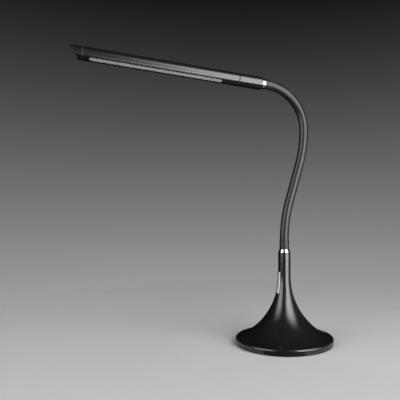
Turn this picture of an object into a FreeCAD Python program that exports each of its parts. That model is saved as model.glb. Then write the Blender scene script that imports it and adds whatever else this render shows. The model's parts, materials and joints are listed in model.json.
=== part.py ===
import FreeCAD, Part
import Sketcher
import math
import os
from FreeCAD import Placement, Rotation, Vector

# Gooseneck desk lamp, millimetres and degrees.
# Origin: middle of the foot pad's underside. +Z is up and the head points to -X.

sizes = {
    # Base moulding: a column that flares into a round foot
    "base_radius": 81.3,
    "shell_wall": 2.4,
    "rim_lift": 0.3,
    "rim_round": 3.0,
    "edge_round": 0.5,
    "column_radius": 10.35,
    "column_length": 38.9,
    "column_deck": 3.0,
    "flare_radius": 112.0,
    "flare_turn_angle": 52.0,
    "foot_turn_angle": 74.0,
    "rim_flat": 5.5,
    "rim_height": 10.0,
    # Underside
    "foot_inset": 6.0,
    "foot_thickness": 1.5,
    "plate_thickness": 2.0,
    "boss_inset": 14.0,
    "boss_radius": 3.6,
    "boss_hole_depth": 6.0,
    "plate_screw_radius": 1.5,
    "weight_inset": 23.0,
    "weight_inner": 11.0,
    "weight_height": 10.5,
    "weight_notch_room": 3.0,
    "weight_screw_circle": 38.0,
    "weight_screw_radius": 2.0,
    "weight_screw_depth": 7.0,
    # Control board and power inlet
    "board_inset": 8.0,
    "board_length": 45.0,
    "board_width": 36.0,
    "board_thickness": 1.2,
    "standoff_height": 1.6,
    "standoff_radius": 2.4,
    "board_screw_inset": 4.0,
    "board_screw_radius": 1.0,
    "header_inset": 11.0,
    "header_length": 16.0,
    "header_width": 10.0,
    "header_height": 4.0,
    "coil_inset": 29.0,
    "coil_side": 7.0,
    "coil_height": 4.0,
    "capacitor_radius": 3.5,
    "capacitor_height": 6.0,
    "chip_inset": 19.0,
    "chip_aside": 13.5,
    "chip_side": 5.0,
    "chip_height": 1.4,
    "jack_inset": 7.0,
    "jack_length": 10.5,
    "jack_width": 6.5,
    "jack_axis_height": 2.4,
    "jack_nose_radius": 2.2,
    "jack_bore_radius": 1.75,
    "jack_bore_depth": 9.0,
    "jack_pin_radius": 0.65,
    "jack_pin_setback": 1.0,
    # Touch panel on the front of the column
    "panel_drop": 28.0,
    "panel_rise": 6.9,
    "panel_spread_angle": 58.0,
    "panel_proud": 1.4,
    "panel_sunk": 0.8,
    "panel_round": 0.5,
    "sensor_inset": 4.0,
    "sensor_width": 8.0,
    "sensor_thickness": 0.8,
    "contact_radius": 1.6,
    "contact_count": 3,
    # Hose fixing at the column's top
    "ring_height": 5.6,
    "ring_top_radius": 8.3,
    "ring_round": 0.4,
    "nipple_radius": 5.0,
    "nipple_bore": 2.6,
    "nipple_tail": 9.0,
    "washer_thickness": 0.8,
    "washer_radius": 7.4,
    "nut_flats": 13.0,
    "nut_thickness": 3.0,
    # Neck line, from the top of the ring to the head's ring
    "neck_lean_angle": 16.0,
    "neck_lower_run": 16.5,
    "neck_back_radius": 230.0,
    "neck_upper_run": 64.3,
    "neck_return_radius": 210.0,
    "neck_top_radius": 73.5,
    "neck_end_run": 2.4,
    "head_rise_angle": 5.3,
    # Hose
    "collar_length": 14.8,
    "collar_radius": 8.1,
    "collar_round": 0.6,
    "sleeve_radius": 7.5,
    "sleeve_wall": 1.2,
    "sleeve_insert": 5.0,
    "core_radius": 5.9,
    "core_bore": 2.6,
    "core_neck_radius": 3.4,
    "ball_radius": 4.6,
    "cup_lip": 1.0,
    "bend_room": 4.8,
    "hinge_count": 6,
    # Leads: radius of a wire and its distance from the pair's middle, and bends on the way
    "lead_radius": 0.65,
    "lead_offset": 0.75,
    "header_lead_rise": 3.0,
    "header_lead_bend": 6.0,
    "column_lead_bend": 8.0,
    "head_lead_bend": 4.0,
    "cable_radius": 0.8,
    "cable_bend": 7.0,
    "cable_level": 27.0,
    # Head, lengths measured along its axis from the end of the hose
    "head_ring_length": 5.5,
    "head_ring_radius": 8.15,
    "head_radius": 10.5,
    "barrel_end": 44.6,
    "barrel_wall": 1.8,
    "barrel_end_wall": 3.0,
    "barrel_round": 1.6,
    "stub_length": 12.0,
    "seam_width": 0.8,
    "seam_round": 0.5,
    "head_wall": 1.5,
    "cap_room": 8.2,
    "cap_seam": 0.4,
    "cap_plug_length": 5.6,
    "cap_length": 14.1,
    "cap_slash_angle": 36.6,
    "cap_turn_angle": 32.0,
    "cap_lip": 1.1,
    "cap_recess": 1.0,
    "disc_thickness": 0.6,
    "head_twist_angle": 32.0,
    # Swivel between the barrel and the head tube
    "spindle_radius": 4.0,
    "spindle_bore": 1.9,
    "spindle_flange_radius": 7.0,
    "spindle_flange": 2.0,
    "spindle_end": 60.2,
    "slip_washer_radius": 5.6,
    "plug_floor": 8.0,
    "plug_length": 16.0,
    "plug_cup_radius": 7.4,
    "spring_washer_radius": 6.8,
    "head_nut_flats": 12.0,
    "head_nut_thickness": 4.0,
    "stop_pin_radius": 1.0,
    "stop_pin_circle": 7.4,
    "stop_pin_reach": 1.5,
    "twist_span_angle": 180.0,
    # Light
    "window_start": 71.1,
    "window_length": 206.8,
    "window_width": 8.2,
    "bezel_width": 1.1,
    "bezel_level": 9.75,
    "diffuser_level": 9.3,
    "flange_level": 7.35,
    "flange_width": 10.0,
    "flange_thickness": 0.9,
    "flange_end_room": 2.0,
    "carrier_floor": 1.2,
    "carrier_level": 4.6,
    "carrier_channel": 8.4,
    "carrier_end_room": 1.6,
    "light_board_width": 8.0,
    "light_board_thickness": 1.0,
    "light_board_room": 8.0,
    "carrier_setback": 4.0,
    "diode_count": 28,
    "diode_length": 3.0,
    "diode_width": 2.8,
    "diode_height": 0.7,
    # Clearances
    "slip": 0.05,
    "seat_gap": 0.1,
    "part_gap": 0.3,
    "overlap": 1.0,
}

doc = FreeCAD.newDocument("DeskLamp")
sheet = doc.addObject("Spreadsheet::Sheet", "Sizes")
for row, (alias, number) in enumerate(sizes.items(), start=1):
    sheet.set("A%d" % row, alias)
    sheet.set("B%d" % row, str(number))
    sheet.setAlias("B%d" % row, alias)
doc.recompute()


class Size:
    """A number kept with the spreadsheet expression that gives it."""

    def __init__(self, number, text):
        self.number = number
        self.text = text

    def __add__(self, other):
        other = size(other)
        return Size(self.number + other.number, "(%s + %s)" % (self.text, other.text))

    def __sub__(self, other):
        other = size(other)
        return Size(self.number - other.number, "(%s - %s)" % (self.text, other.text))

    def __mul__(self, other):
        other = size(other)
        return Size(self.number * other.number, "(%s * %s)" % (self.text, other.text))

    def __truediv__(self, other):
        other = size(other)
        return Size(self.number / other.number, "(%s / %s)" % (self.text, other.text))

    def __neg__(self):
        return Size(-self.number, "(0 - %s)" % self.text)

    def __radd__(self, other):
        return size(other) + self

    def __rsub__(self, other):
        return size(other) - self

    def __rmul__(self, other):
        return size(other) * self


def size(amount):
    """A Size as it is, and a plain number made into one."""
    if isinstance(amount, Size):
        return amount
    return Size(float(amount), "(%.9g)" % amount)


def cell(alias):
    """The size that a cell of the sheet holds."""
    return Size(float(sheet.get(alias)), "Sizes.%s" % alias)


def sine(angle):
    return Size(math.sin(math.radians(angle.number)), "sin(%s)" % angle.text)


def cosine(angle):
    return Size(math.cos(math.radians(angle.number)), "cos(%s)" % angle.text)


def tangent(angle):
    return Size(math.tan(math.radians(angle.number)), "tan(%s)" % angle.text)


def root(amount):
    return Size(math.sqrt(amount.number), "sqrt(%s)" % amount.text)


def bind(thing, name, amount):
    """Drive a property of an object from the sheet."""
    thing.setExpression(name, size(amount).text)


# Every size by its own name
z = {alias: cell(alias) for alias in sizes}
slip = z["slip"]
seat_gap = z["seat_gap"]
part_gap = z["part_gap"]
sub_parts = []


def named(thing, label):
    """Give a finished sub-part its name and list it."""
    thing.Label = label
    sub_parts.append(thing)
    return thing


def new_body(label):
    body = doc.addObject("PartDesign::Body", label)
    return named(body, label)


def origin_item(body, role):
    """A plane or an axis of the body's own origin."""
    return next(f for f in body.Origin.OriginFeatures if f.Role == role)


def new_sketch(body, role, offset=None):
    """A sketch on one of the body's own planes, at an offset along its normal."""
    sketch = body.newObject("Sketcher::SketchObject", body.Name + "_sketch")
    sketch.AttachmentSupport = [(origin_item(body, role), "")]
    sketch.MapMode = "FlatFace"
    if offset is not None:
        offset = size(offset)
        sketch.AttachmentOffset = Placement(Vector(0, 0, offset.number), Rotation())
        bind(sketch, "AttachmentOffset.Base.z", offset)
    return sketch


def pin_point(sketch, edge, end, across, up):
    """Hold one point of a sketch at a place that the sheet drives."""
    for kind, amount in (("DistanceX", across), ("DistanceY", up)):
        rule = Sketcher.Constraint(kind, -1, 1, edge, end, amount.number)
        number = sketch.addConstraint(rule)
        bind(sketch, "Constraints[%d]" % number, amount)


def circle(sketch, across, up, radius):
    """A round outline."""
    across, up, radius = size(across), size(up), size(radius)
    middle = Vector(across.number, up.number, 0)
    edge = sketch.addGeometry(Part.Circle(middle, Vector(0, 0, 1), radius.number), False)
    pin_point(sketch, edge, 3, across, up)
    number = sketch.addConstraint(Sketcher.Constraint("Radius", edge, radius.number))
    bind(sketch, "Constraints[%d]" % number, radius)


def arc_between(first, last, radius, side):
    """The short arc between two points, with its middle on the left (1) or right (-1) of the way."""
    chord = last - first
    half = chord.Length / 2
    across = Vector(-chord.y, chord.x, 0).normalize() * side
    middle = first + chord / 2 + across * math.sqrt(max(radius * radius - half * half, 0))
    start, end = (first, last) if side > 0 else (last, first)
    angles = [math.atan2(p.y - middle.y, p.x - middle.x) for p in (start, end)]
    return Part.ArcOfCircle(Part.Circle(middle, Vector(0, 0, 1), radius), *angles)


def outline(sketch, corners):
    """A closed outline. A corner is (across, up), or (across, up, radius, side) where an arc leaves it."""
    corners = [tuple(size(c) for c in corner) for corner in corners]
    ends = []
    for corner, following in zip(corners, corners[1:] + corners[:1]):
        first = Vector(corner[0].number, corner[1].number, 0)
        last = Vector(following[0].number, following[1].number, 0)
        if len(corner) == 2:
            edge = sketch.addGeometry(Part.LineSegment(first, last), False)
            ends.append((edge, 1, 2))
            continue
        radius, side = corner[2], corner[3].number
        edge = sketch.addGeometry(arc_between(first, last, radius.number, side), False)
        ends.append((edge, 1, 2) if side > 0 else (edge, 2, 1))
        if abs((last - first).Length - 2 * radius.number) < 1e-6:
            # A half circle between two level points is held by its middle
            level = Sketcher.Constraint("DistanceY", -1, 1, edge, 3, corner[1].number)
            bind(sketch, "Constraints[%d]" % sketch.addConstraint(level), corner[1])
            continue
        number = sketch.addConstraint(Sketcher.Constraint("Radius", edge, radius.number))
        bind(sketch, "Constraints[%d]" % number, radius)
    for here, after, corner in zip(ends, ends[1:] + ends[:1], corners):
        sketch.addConstraint(Sketcher.Constraint("Coincident", here[0], here[2], after[0], after[1]))
        pin_point(sketch, here[0], here[1], corner[0], corner[1])


def block_outline(sketch, low_across, high_across, low_up, high_up):
    outline(sketch, [
        (low_across, low_up),
        (high_across, low_up),
        (high_across, high_up),
        (low_across, high_up),
    ])


def slot_outline(sketch, start, end, width):
    """A slot with round ends along the sketch's up axis, about its middle line."""
    half = width / 2
    outline(sketch, [
        (half, start + half),
        (half, end - half, half, 1),
        (-half, end - half),
        (-half, start + half, half, 1),
    ])


def pad(body, sketch, length, reverse=False, midplane=False):
    feature = body.newObject("PartDesign::Pad", body.Name + "_pad")
    feature.Profile = sketch
    feature.Reversed = reverse
    feature.Midplane = midplane
    bind(feature, "Length", length)
    doc.recompute()
    return feature


def cut_check(body, before, feature):
    """A cut has to remove something."""
    if body.Shape.Volume >= before - 1e-6:
        raise RuntimeError("%s removes nothing" % feature.Name)


def pocket(body, sketch, length=None, reverse=False, midplane=False):
    before = body.Shape.Volume
    feature = body.newObject("PartDesign::Pocket", body.Name + "_pocket")
    feature.Profile = sketch
    feature.Reversed = reverse
    feature.Midplane = midplane
    if length is None:
        feature.Type = "ThroughAll"
    else:
        bind(feature, "Length", length)
    doc.recompute()
    cut_check(body, before, feature)
    return feature


def revolve(body, sketch, angle=360.0):
    """A solid of revolution about the sketch's up axis, half of the angle each way."""
    feature = body.newObject("PartDesign::Revolution", body.Name + "_revolution")
    feature.Profile = sketch
    feature.ReferenceAxis = (sketch, ["V_Axis"])
    feature.Midplane = True
    bind(feature, "Angle", angle)
    doc.recompute()
    return feature


def groove(body, sketch, angle=360.0):
    before = body.Shape.Volume
    feature = body.newObject("PartDesign::Groove", body.Name + "_groove")
    feature.Profile = sketch
    feature.ReferenceAxis = (sketch, ["V_Axis"])
    feature.Midplane = True
    bind(feature, "Angle", angle)
    doc.recompute()
    cut_check(body, before, feature)
    return feature


def around(body, feature, count, angle=360.0):
    """Repeat a feature round the body's up axis."""
    pattern = body.newObject("PartDesign::PolarPattern", body.Name + "_pattern")
    pattern.Originals = [feature]
    pattern.Axis = (origin_item(body, "Z_Axis"), [""])
    pattern.Angle = angle
    pattern.Occurrences = count
    body.Tip = pattern
    doc.recompute()
    return pattern


def edge_names(shape, chosen):
    """Names of the edges whose every sampled point is chosen."""
    names = []
    for number, edge in enumerate(shape.Edges, start=1):
        points = edge.discretize(5)
        if all(chosen(p) for p in points):
            names.append("Edge%d" % number)
    return names


def ring_edges(shape, radius, height):
    """Names of the round edges of one radius about the up axis at one height."""
    near = 1e-3
    return edge_names(
        shape,
        lambda p: abs(math.hypot(p.x, p.y) - radius.number) < near and abs(p.z - height.number) < near,
    )


def dress(body, kind, names, amount):
    """Fillet or chamfer some edges of the body's last feature."""
    if not names:
        raise RuntimeError("%s has no edge to dress" % body.Name)
    base = body.Tip
    feature = body.newObject("PartDesign::" + kind, body.Name + "_" + kind.lower())
    feature.Base = (base, names)
    bind(feature, "Radius" if kind == "Fillet" else "Size", amount)
    doc.recompute()
    return feature


def washer_body(label, low, thickness, inner, outer):
    """A flat ring about the up axis."""
    body = new_body(label)
    sketch = new_sketch(body, "XZ_Plane")
    block_outline(sketch, inner, outer, low, low + thickness)
    revolve(body, sketch)
    return body


def nut_body(label, low, thickness, flats, bore):
    """A hexagon nut about the up axis."""
    body = new_body(label)
    sketch = new_sketch(body, "XY_Plane", low)
    corner = flats / math.sqrt(3)
    outline(sketch, [
        (corner, size(0)),
        (corner / 2, flats / 2),
        (-corner / 2, flats / 2),
        (-corner, size(0)),
        (-corner / 2, -flats / 2),
        (corner / 2, -flats / 2),
    ])
    circle(sketch, 0, 0, bore)
    pad(body, sketch, thickness)
    return body


# Outline of the flare: a wide arc, then a tighter one that reaches the rim's flat
flare_join = z["column_radius"] + z["flare_radius"] * (1 - cosine(z["flare_turn_angle"]))
foot_reach = z["base_radius"] - z["rim_flat"] - flare_join
foot_arc = foot_reach / (cosine(z["flare_turn_angle"]) - cosine(z["foot_turn_angle"]))
foot_drop = foot_arc * (sine(z["foot_turn_angle"]) - sine(z["flare_turn_angle"]))
flare_drop = z["flare_radius"] * sine(z["flare_turn_angle"])
flare_top = z["rim_height"] + z["rim_flat"] / tangent(z["foot_turn_angle"]) + foot_drop + flare_drop
column_top = flare_top + z["column_length"]

# Levels of the base, from the table up
plate_low = z["foot_thickness"]
plate_high = plate_low + z["plate_thickness"]
board_low = plate_high + z["standoff_height"]
board_high = board_low + z["board_thickness"]
column_inner = z["column_radius"] - z["shell_wall"]
deck_low = column_top - z["column_deck"]
plate_radius = z["base_radius"] - z["shell_wall"] - part_gap
foot_radius = z["base_radius"] - z["foot_inset"]
boss_across = (z["base_radius"] - z["boss_inset"]) / math.sqrt(2)
weight_outer = z["base_radius"] - z["weight_inset"]
board_end = z["base_radius"] - z["board_inset"]
board_start = board_end - z["board_length"]
header_place = board_start + z["header_inset"]
jack_end = z["base_radius"] - z["jack_inset"]
jack_start = jack_end - z["jack_length"]
panel_low = flare_top - z["panel_drop"]
panel_high = flare_top + z["panel_rise"]
sensor_low = panel_low + z["sensor_inset"]
sensor_high = panel_high - z["sensor_inset"]


def flare(inward):
    """Points of the flare's outline, moved inward from the outer surface by a depth: the column's foot,
    the joint of the two arcs, the end of the lower arc and the rim."""
    upper, lower = z["flare_turn_angle"], z["foot_turn_angle"]
    joint_up = flare_top - flare_drop
    end_out = z["base_radius"] - z["rim_flat"] - inward * cosine(lower)
    end_up = joint_up - foot_drop - inward * sine(lower)
    rim_out = z["base_radius"] - inward
    return [
        (z["column_radius"] - inward, flare_top),
        (flare_join - inward * cosine(upper), joint_up - inward * sine(upper)),
        (end_out, end_up),
        (rim_out, end_up - (rim_out - end_out) / tangent(lower)),
    ]


def flare_radius(height, inward):
    """Radius of the flare's upper arc at a height, moved inward by a depth."""
    reach = z["flare_radius"] + inward
    drop = flare_top - height
    return z["column_radius"] + z["flare_radius"] - root(reach * reach - drop * drop)


def base_shell():
    body = new_body("base_shell")
    outer, inner = flare(size(0)), flare(z["shell_wall"])
    upper, lower = z["flare_radius"], foot_arc
    wall = z["shell_wall"]
    sketch = new_sketch(body, "XZ_Plane")
    outline(sketch, [
        (inner[3][0], z["rim_lift"]),
        inner[3],
        inner[2] + (lower + wall, -1),
        inner[1] + (upper + wall, -1),
        inner[0],
        (column_inner, deck_low),
        (z["nipple_radius"] + seat_gap, deck_low),
        (z["nipple_radius"] + seat_gap, column_top),
        (z["column_radius"], column_top),
        outer[0] + (upper, 1),
        outer[1] + (lower, 1),
        outer[2],
        outer[3],
        (z["base_radius"], z["rim_lift"]),
    ])
    revolve(body, sketch)
    dress(body, "Fillet", ring_edges(body.Shape, outer[3][0], outer[3][1]), z["rim_round"])
    rims = ring_edges(body.Shape, z["base_radius"], z["rim_lift"])
    rims += ring_edges(body.Shape, z["column_radius"], column_top)
    dress(body, "Fillet", rims, z["edge_round"])

    # Seat of the touch panel
    sketch = new_sketch(body, "XZ_Plane")
    panel_outline(sketch, z["panel_sunk"], -z["panel_proud"], seat_gap)
    seat = groove(body, sketch, z["panel_spread_angle"] + 2 * seat_gap)

    # Screw bosses under the roof
    sketch = new_sketch(body, "XY_Plane", plate_high)
    circle(sketch, boss_across, boss_across, z["boss_radius"])
    boss_top = outer[2][1] - seat_gap
    boss = pad(body, sketch, boss_top - plate_high)
    around(body, boss, 4)
    sketch = new_sketch(body, "XY_Plane", plate_high)
    circle(sketch, boss_across, boss_across, z["plate_screw_radius"] + slip)
    hole = pocket(body, sketch, z["boss_hole_depth"], reverse=True)
    around(body, hole, 4)

    # Hole for the nose of the power inlet
    sketch = new_sketch(body, "YZ_Plane", plate_radius)
    circle(sketch, 0, plate_high + z["jack_axis_height"], z["jack_nose_radius"] + seat_gap)
    pocket(body, sketch, z["shell_wall"] + 2 * part_gap, reverse=True)
    return body


def panel_outline(sketch, sunk, proud, room):
    """Outline of a strip that follows the front of the column, on its -X side."""
    low, high = panel_low - room, panel_high + room
    deep, out = sunk + room, proud
    middle_reach = z["flare_radius"]
    outline(sketch, [
        (-flare_radius(low, deep), low),
        (-flare_radius(low, out), low, middle_reach + out, 1),
        (-(z["column_radius"] - out), flare_top),
        (-(z["column_radius"] - out), high),
        (-(z["column_radius"] - deep), high),
        (-(z["column_radius"] - deep), flare_top, middle_reach + deep, -1),
    ])


def touch_panel():
    body = new_body("touch_panel")
    sketch = new_sketch(body, "XZ_Plane")
    panel_outline(sketch, z["panel_sunk"], -z["panel_proud"], size(0))
    revolve(body, sketch, z["panel_spread_angle"])
    face_reach = z["flare_radius"] - z["panel_proud"]

    def on_face(p):
        drop = max(flare_top.number - p.z, 0)
        middle = z["column_radius"].number + z["flare_radius"].number
        radius = middle - math.sqrt(face_reach.number ** 2 - drop ** 2)
        return abs(math.hypot(p.x, p.y) - radius) < 1e-2

    shape = body.Shape
    borders = []
    level = flare_top.number
    for name in edge_names(shape, on_face):
        edge = shape.Edges[int(name[4:]) - 1]
        if not all(abs(p.z - level) < 1e-3 for p in edge.discretize(3)):
            borders.append(name)
    dress(body, "Fillet", borders, z["panel_round"])
    return body


def foot_pad():
    pad_disc = doc.addObject("Part::Cylinder", "foot_pad")
    bind(pad_disc, "Radius", foot_radius)
    bind(pad_disc, "Height", z["foot_thickness"])
    return named(pad_disc, "foot_pad")


def weight_screw_places():
    """Three places round the ballast, clear of its notch."""
    reach = z["weight_screw_circle"]
    return [(size(0), reach), (-reach, size(0)), (size(0), -reach)]


def boss_places():
    return [(x, y) for x in (boss_across, -boss_across) for y in (boss_across, -boss_across)]


def board_screw_places():
    inset = z["board_screw_inset"]
    along = (board_start + inset, board_end - inset)
    side = z["board_width"] / 2 - inset
    return [(x, y) for x in along for y in (side, -side)]


def base_plate():
    body = new_body("base_plate")
    sketch = new_sketch(body, "XY_Plane", plate_low)
    circle(sketch, 0, 0, plate_radius)
    pad(body, sketch, z["plate_thickness"])
    sketch = new_sketch(body, "XY_Plane", plate_high)
    for x, y in board_screw_places():
        circle(sketch, x, y, z["standoff_radius"])
    pad(body, sketch, z["standoff_height"])

    sketch = new_sketch(body, "XY_Plane", plate_low)
    for x, y in boss_places():
        circle(sketch, x, y, z["plate_screw_radius"] + slip)
    for x, y in weight_screw_places():
        circle(sketch, x, y, z["weight_screw_radius"] + slip)
    pocket(body, sketch, z["plate_thickness"], reverse=True)
    for places, radius in (
        (boss_places(), z["plate_screw_radius"]),
        (weight_screw_places(), z["weight_screw_radius"]),
    ):
        names = []
        for x, y in places:
            names += edge_names(
                body.Shape,
                lambda p: abs(p.z - plate_low.number) < 1e-3
                and math.hypot(p.x - x.number, p.y - y.number) < radius.number + 0.5,
            )
        dress(body, "Chamfer", names, radius / 2)

    sketch = new_sketch(body, "XY_Plane", board_low)
    for x, y in board_screw_places():
        circle(sketch, x, y, z["board_screw_radius"] + slip)
    pocket(body, sketch, z["standoff_height"])
    return body


def screw_group(label, places, low, radius, head_radius, head_height, length, point_up=True):
    """Screws with cone heads, standing at some places; the head's flat end is at the low level."""
    screws = []
    for number, (x, y) in enumerate(places, start=1):
        head = doc.addObject("Part::Cone", "%s_head_%d" % (label, number))
        shank = doc.addObject("Part::Cylinder", "%s_shank_%d" % (label, number))
        wide, narrow = ("Radius1", "Radius2") if point_up else ("Radius2", "Radius1")
        bind(head, wide, head_radius)
        bind(head, narrow, radius)
        bind(head, "Height", head_height)
        bind(shank, "Radius", radius)
        bind(shank, "Height", length)
        head_low = low if point_up else low - head_height
        shank_low = low if point_up else low - length
        for piece, height in ((head, head_low), (shank, shank_low)):
            bind(piece, "Placement.Base.x", x)
            bind(piece, "Placement.Base.y", y)
            bind(piece, "Placement.Base.z", height)
        screw = doc.addObject("Part::MultiFuse", "%s_%d" % (label, number))
        screw.Shapes = [head, shank]
        screws.append(screw)
    group = doc.addObject("Part::Compound", label)
    group.Links = screws
    return named(group, label)


def plate_screws():
    radius = z["plate_screw_radius"]
    return screw_group(
        "plate_screws", boss_places(), plate_low, radius,
        radius * 1.5, radius / 2, z["plate_thickness"] + z["boss_hole_depth"] - part_gap,
    )


def weight_screws():
    radius = z["weight_screw_radius"]
    return screw_group(
        "weight_screws", weight_screw_places(), plate_low, radius,
        radius * 1.5, radius / 2, z["plate_thickness"] + z["weight_screw_depth"] - part_gap,
    )


def ballast_weight():
    body = new_body("ballast_weight")
    sketch = new_sketch(body, "XY_Plane", plate_high)
    circle(sketch, 0, 0, weight_outer)
    circle(sketch, 0, 0, z["weight_inner"])
    pad(body, sketch, z["weight_height"])
    sketch = new_sketch(body, "XY_Plane", plate_high)
    half = z["board_width"] / 2 + z["weight_notch_room"]
    block_outline(sketch, board_start - z["weight_notch_room"], z["base_radius"], -half, half)
    pocket(body, sketch, z["weight_height"], reverse=True)
    sketch = new_sketch(body, "XY_Plane", plate_high)
    for x, y in weight_screw_places():
        circle(sketch, x, y, z["weight_screw_radius"] + slip)
    pocket(body, sketch, z["weight_screw_depth"], reverse=True)
    return body


def control_board():
    body = new_body("control_board")
    half = z["board_width"] / 2
    notch = z["jack_width"] / 2 + part_gap
    notch_start = jack_start - part_gap
    sketch = new_sketch(body, "XY_Plane", board_low)
    outline(sketch, [
        (board_start, -half),
        (board_end, -half),
        (board_end, -notch),
        (notch_start, -notch),
        (notch_start, notch),
        (board_end, notch),
        (board_end, half),
        (board_start, half),
    ])
    for x, y in board_screw_places():
        circle(sketch, x, y, z["board_screw_radius"] + slip)
    pad(body, sketch, z["board_thickness"])
    return body


def board_screws():
    radius = z["board_screw_radius"]
    head_high = board_high + radius * 0.8
    return screw_group(
        "board_screws", board_screw_places(), head_high, radius,
        radius * 1.8, radius * 0.8, z["board_thickness"] + z["standoff_height"] + radius * 0.8 - slip,
        point_up=False,
    )


def board_parts():
    """Lead header, choke, capacitor and driver chip, standing on the board."""
    def block(label, x, y, length, width, height):
        item = doc.addObject("Part::Box", label)
        bind(item, "Length", length)
        bind(item, "Width", width)
        bind(item, "Height", height)
        bind(item, "Placement.Base.x", x - length / 2)
        bind(item, "Placement.Base.y", y - width / 2)
        bind(item, "Placement.Base.z", board_high)
        return item

    side = z["board_width"] / 4
    long, wide, high = z["header_length"], z["header_width"], z["header_height"]
    header = block("lead_header", header_place, size(0), long, wide, high)
    coil_side, coil_place = z["coil_side"], board_start + z["coil_inset"]
    coil = block("choke", coil_place, side, coil_side, coil_side, z["coil_height"])
    chip_side, chip_place = z["chip_side"], board_start + z["chip_inset"]
    chip = block("driver_chip", chip_place, z["chip_aside"], chip_side, chip_side, z["chip_height"])
    can = doc.addObject("Part::Cylinder", "capacitor")
    bind(can, "Radius", z["capacitor_radius"])
    bind(can, "Height", z["capacitor_height"])
    bind(can, "Placement.Base.x", board_start + z["coil_inset"])
    bind(can, "Placement.Base.y", -side)
    bind(can, "Placement.Base.z", board_high)
    group = doc.addObject("Part::Compound", "board_parts")
    group.Links = [header, coil, chip, can]
    return named(group, "board_parts")


def jack_nose_end():
    return z["base_radius"] - part_gap


def dc_jack():
    body = new_body("dc_jack")
    axis = plate_high + z["jack_axis_height"]
    low = plate_high + seat_gap
    sketch = new_sketch(body, "XY_Plane", low)
    half = z["jack_width"] / 2
    block_outline(sketch, jack_start, jack_end, -half, half)
    pad(body, sketch, 2 * (axis - low))
    sketch = new_sketch(body, "YZ_Plane", jack_end - seat_gap)
    circle(sketch, 0, axis, z["jack_nose_radius"])
    pad(body, sketch, jack_nose_end() - jack_end + seat_gap)
    sketch = new_sketch(body, "YZ_Plane", jack_nose_end())
    circle(sketch, 0, axis, z["jack_bore_radius"])
    pocket(body, sketch, z["jack_bore_depth"])
    return body


def jack_pin():
    """Centre contact of the power inlet."""
    pin = doc.addObject("Part::Cylinder", "jack_pin")
    pin.Placement = Placement(Vector(0, 0, 0), Rotation(Vector(0, 1, 0), 90))
    bind(pin, "Radius", z["jack_pin_radius"])
    bind(pin, "Height", z["jack_bore_depth"] - z["jack_pin_setback"])
    bind(pin, "Placement.Base.x", jack_nose_end() - z["jack_bore_depth"] + slip)
    bind(pin, "Placement.Base.z", plate_high + z["jack_axis_height"])
    return named(pin, "jack_pin")


# The sensor board stands flat behind the front wall of the column
sensor_reach = column_inner - part_gap
sensor_face = root(sensor_reach * sensor_reach - z["sensor_width"] * z["sensor_width"] / 4)


def touch_board():
    board = doc.addObject("Part::Box", "touch_board")
    bind(board, "Length", z["sensor_thickness"])
    bind(board, "Width", z["sensor_width"])
    bind(board, "Height", sensor_high - sensor_low)
    bind(board, "Placement.Base.x", -sensor_face)
    bind(board, "Placement.Base.y", -z["sensor_width"] / 2)
    bind(board, "Placement.Base.z", sensor_low)
    return named(board, "touch_board")


def touch_contacts():
    """Conductive posts between the sensor board and the column's wall."""
    posts = []
    count = int(z["contact_count"].number)
    for number in range(count):
        share = (number + 0.5) / count
        height = sensor_low + (sensor_high - sensor_low) * share
        foot = height + z["contact_radius"]
        if foot.number < flare_top.number:
            wall = flare_radius(foot, z["shell_wall"])
        else:
            wall = column_inner
        post = doc.addObject("Part::Cylinder", "touch_contact_%d" % (number + 1))
        post.Placement = Placement(Vector(0, 0, 0), Rotation(Vector(0, 1, 0), -90))
        bind(post, "Radius", z["contact_radius"])
        sag = root(wall * wall - z["contact_radius"] * z["contact_radius"])
        bind(post, "Height", sag - slip - sensor_face)
        bind(post, "Placement.Base.x", -sensor_face)
        bind(post, "Placement.Base.z", height)
        posts.append(post)
    group = doc.addObject("Part::Compound", "touch_contacts")
    group.Links = posts
    return named(group, "touch_contacts")


def neck_ring():
    body = new_body("neck_ring")
    sketch = new_sketch(body, "XZ_Plane")
    low, high = column_top, column_top + z["ring_height"]
    inner = z["nipple_radius"] + seat_gap
    outline(sketch, [
        (inner, low),
        (z["column_radius"], low),
        (z["ring_top_radius"], high),
        (inner, high),
    ])
    revolve(body, sketch)
    names = ring_edges(body.Shape, z["column_radius"], low)
    names += ring_edges(body.Shape, z["ring_top_radius"], high)
    dress(body, "Fillet", names, z["ring_round"])
    return body


def neck_nipple():
    """Threaded tube that the hose is fixed to."""
    return washer_body(
        "neck_nipple", deck_low - z["nipple_tail"],
        z["column_deck"] + z["nipple_tail"] + z["ring_height"], z["nipple_bore"], z["nipple_radius"],
    )


def neck_washer():
    inner = z["nipple_radius"] + seat_gap
    low = deck_low - z["washer_thickness"]
    return washer_body("neck_washer", low, z["washer_thickness"], inner, z["washer_radius"])


def neck_nut():
    low = deck_low - z["washer_thickness"] - z["nut_thickness"]
    return nut_body("neck_nut", low, z["nut_thickness"], z["nut_flats"], z["nipple_radius"] + slip)


# Neck line. A run is (length, turn): a straight run turns by 0, and a turn towards +X is positive.
def turned(radius, turn):
    return (radius.number * math.radians(abs(turn)), turn)


neck_foot = column_top + z["ring_height"]
level_heading, downward = 90.0, 180.0
last_turn = level_heading - z["head_rise_angle"].number
neck_runs = [
    (z["neck_lower_run"].number, 0),
    turned(z["neck_back_radius"], z["neck_lean_angle"].number),
    (z["neck_upper_run"].number, 0),
    turned(z["neck_return_radius"], -z["neck_lean_angle"].number),
    turned(z["neck_top_radius"], -last_turn),
    (z["neck_end_run"].number, 0),
]
neck_length = sum(length for length, turn in neck_runs)


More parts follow.
